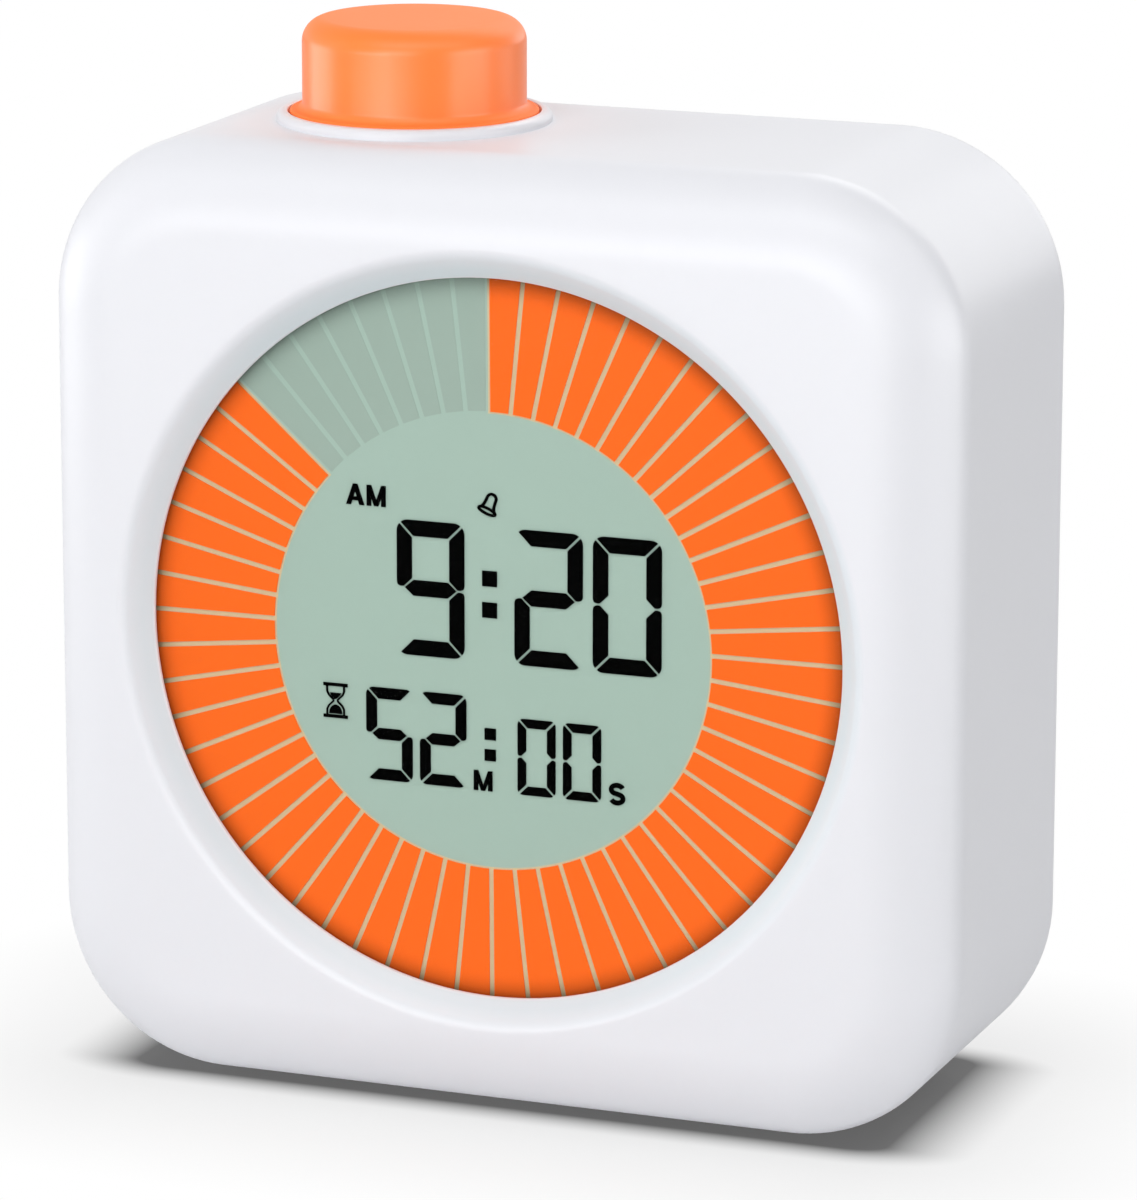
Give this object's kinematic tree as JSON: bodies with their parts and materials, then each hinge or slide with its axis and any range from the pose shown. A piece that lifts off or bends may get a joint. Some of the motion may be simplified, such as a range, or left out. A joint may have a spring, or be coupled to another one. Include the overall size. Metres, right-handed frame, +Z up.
{
  "type": "countdown timer clock",
  "caption": "Free-standing rounded square countdown timer and alarm clock with a round segment dial, a turn-and-push knob on top, rear keys, a volume slider and a battery door.",
  "frame": {"origin": "under the middle of the case, on the table", "axes": "+Z up, the dial faces -Y, +X to the right seen from the front; the knob stands to the left on top"},
  "size_m": [0.092, 0.04, 0.1043],
  "materials": {
    "case_plastic": "white, satin",
    "knob_plastic": "orange, soft matt",
    "clear_lens": "clear, polished",
    "display_film": "pale green display film",
    "display_glass": "thin display glass",
    "white_sheet": "white reflector",
    "orange_ink": "orange segments",
    "pale_ink": "unlit segments",
    "black_ink": "black segments",
    "inner_plastic": "natural moulded",
    "soft_rubber": "layered contact rubber",
    "circuit_board": "green solder mask",
    "black_plastic": "black moulded",
    "capacitor_can": "sleeved can",
    "socket_plastic": "ivory moulded",
    "screw_steel": "zinc plated",
    "shaft_metal": "turned",
    "bushing_brass": "turned",
    "contact_metal": "nickel plated",
    "ribbon_plastic": "flat cable",
    "key_plastic": "light grey, satin",
    "wire_plastic": "insulated wire",
    "cell_can": "sleeved battery cell",
    "foot_rubber": "matt grey rubber"
  },
  "bodies": {
    "case": {"front_cover": "case_plastic", "rear_case": "case_plastic", "dial_lens": "clear_lens", "display_film": "display_film", "front_glass": "display_glass", "rear_glass": "display_glass", "reflector_sheet": "white_sheet", "lit_segments": "orange_ink", "unlit_segments": "pale_ink", "clock_digits": "black_ink", "minute_digits": "black_ink", "second_digits": "black_ink", "display_tray": "inner_plastic", "contact_strip": "soft_rubber", "main_board": "circuit_board", "controller_blob": "black_plastic", "clock_crystal": "contact_metal", "capacitors": "capacitor_can", "board_sockets": "socket_plastic", "tray_screws": "screw_steel", "board_screws": "screw_steel", "knob_collar": "case_plastic", "encoder_bushing": "bushing_brass", "encoder_body": "black_plastic", "encoder_dome": "contact_metal", "encoder_board": "circuit_board", "encoder_screws": "screw_steel", "encoder_ribbon": "ribbon_plastic", "volume_switch": "contact_metal", "key_switches": "black_plastic", "key_board": "circuit_board", "key_screws": "screw_steel", "key_ribbon": "ribbon_plastic", "sounder": "black_plastic", "sounder_leads": "wire_plastic", "battery_cells": "cell_can", "battery_plates": "contact_metal", "battery_springs": "contact_metal", "battery_leads": "wire_plastic", "rubber_feet": "foot_rubber", "case_screws": "screw_steel"},
    "push": {"encoder_plunger": "socket_plastic"},
    "knob": {"knob": "knob_plastic", "encoder_shaft": "shaft_metal"},
    "mode_key": {"mode_key": "key_plastic"},
    "hour_key": {"hour_key": "key_plastic"},
    "minute_key": {"minute_key": "key_plastic"},
    "volume": {"volume_slider": "key_plastic", "volume_lever": "black_plastic"},
    "door": {"battery_door": "case_plastic"}
  },
  "joints": [
    {"name": "knob_push", "type": "slide", "parent": "case", "child": "push", "axis": [0, 0, -1], "range_m": [0, 0.0005], "stiffness_N_per_m": 3000, "springref_m": -0.0005},
    {"name": "knob_turn", "type": "hinge", "parent": "push", "child": "knob", "pos_m": [-0.0152, 0.00069, 0.0944], "axis": [0, 0, 1], "continuous": true},
    {"name": "mode_key_press", "type": "slide", "parent": "case", "child": "mode_key", "axis": [0, -1, 0], "range_m": [0, 0.0005], "stiffness_N_per_m": 2000, "springref_m": -0.0003},
    {"name": "hour_key_press", "type": "slide", "parent": "case", "child": "hour_key", "axis": [0, -1, 0], "range_m": [0, 0.0005], "stiffness_N_per_m": 2000, "springref_m": -0.0003},
    {"name": "minute_key_press", "type": "slide", "parent": "case", "child": "minute_key", "axis": [0, -1, 0], "range_m": [0, 0.0005], "stiffness_N_per_m": 2000, "springref_m": -0.0003},
    {"name": "volume_slide", "type": "slide", "parent": "case", "child": "volume", "axis": [1, 0, 0], "range_m": [-0.0025, 0.0025]},
    {"name": "battery_door_swing", "type": "hinge", "parent": "case", "child": "door", "pos_m": [0, 0.019, 0.0138], "axis": [-1, 0, 0], "range_deg": [0, 75]}
  ]
}
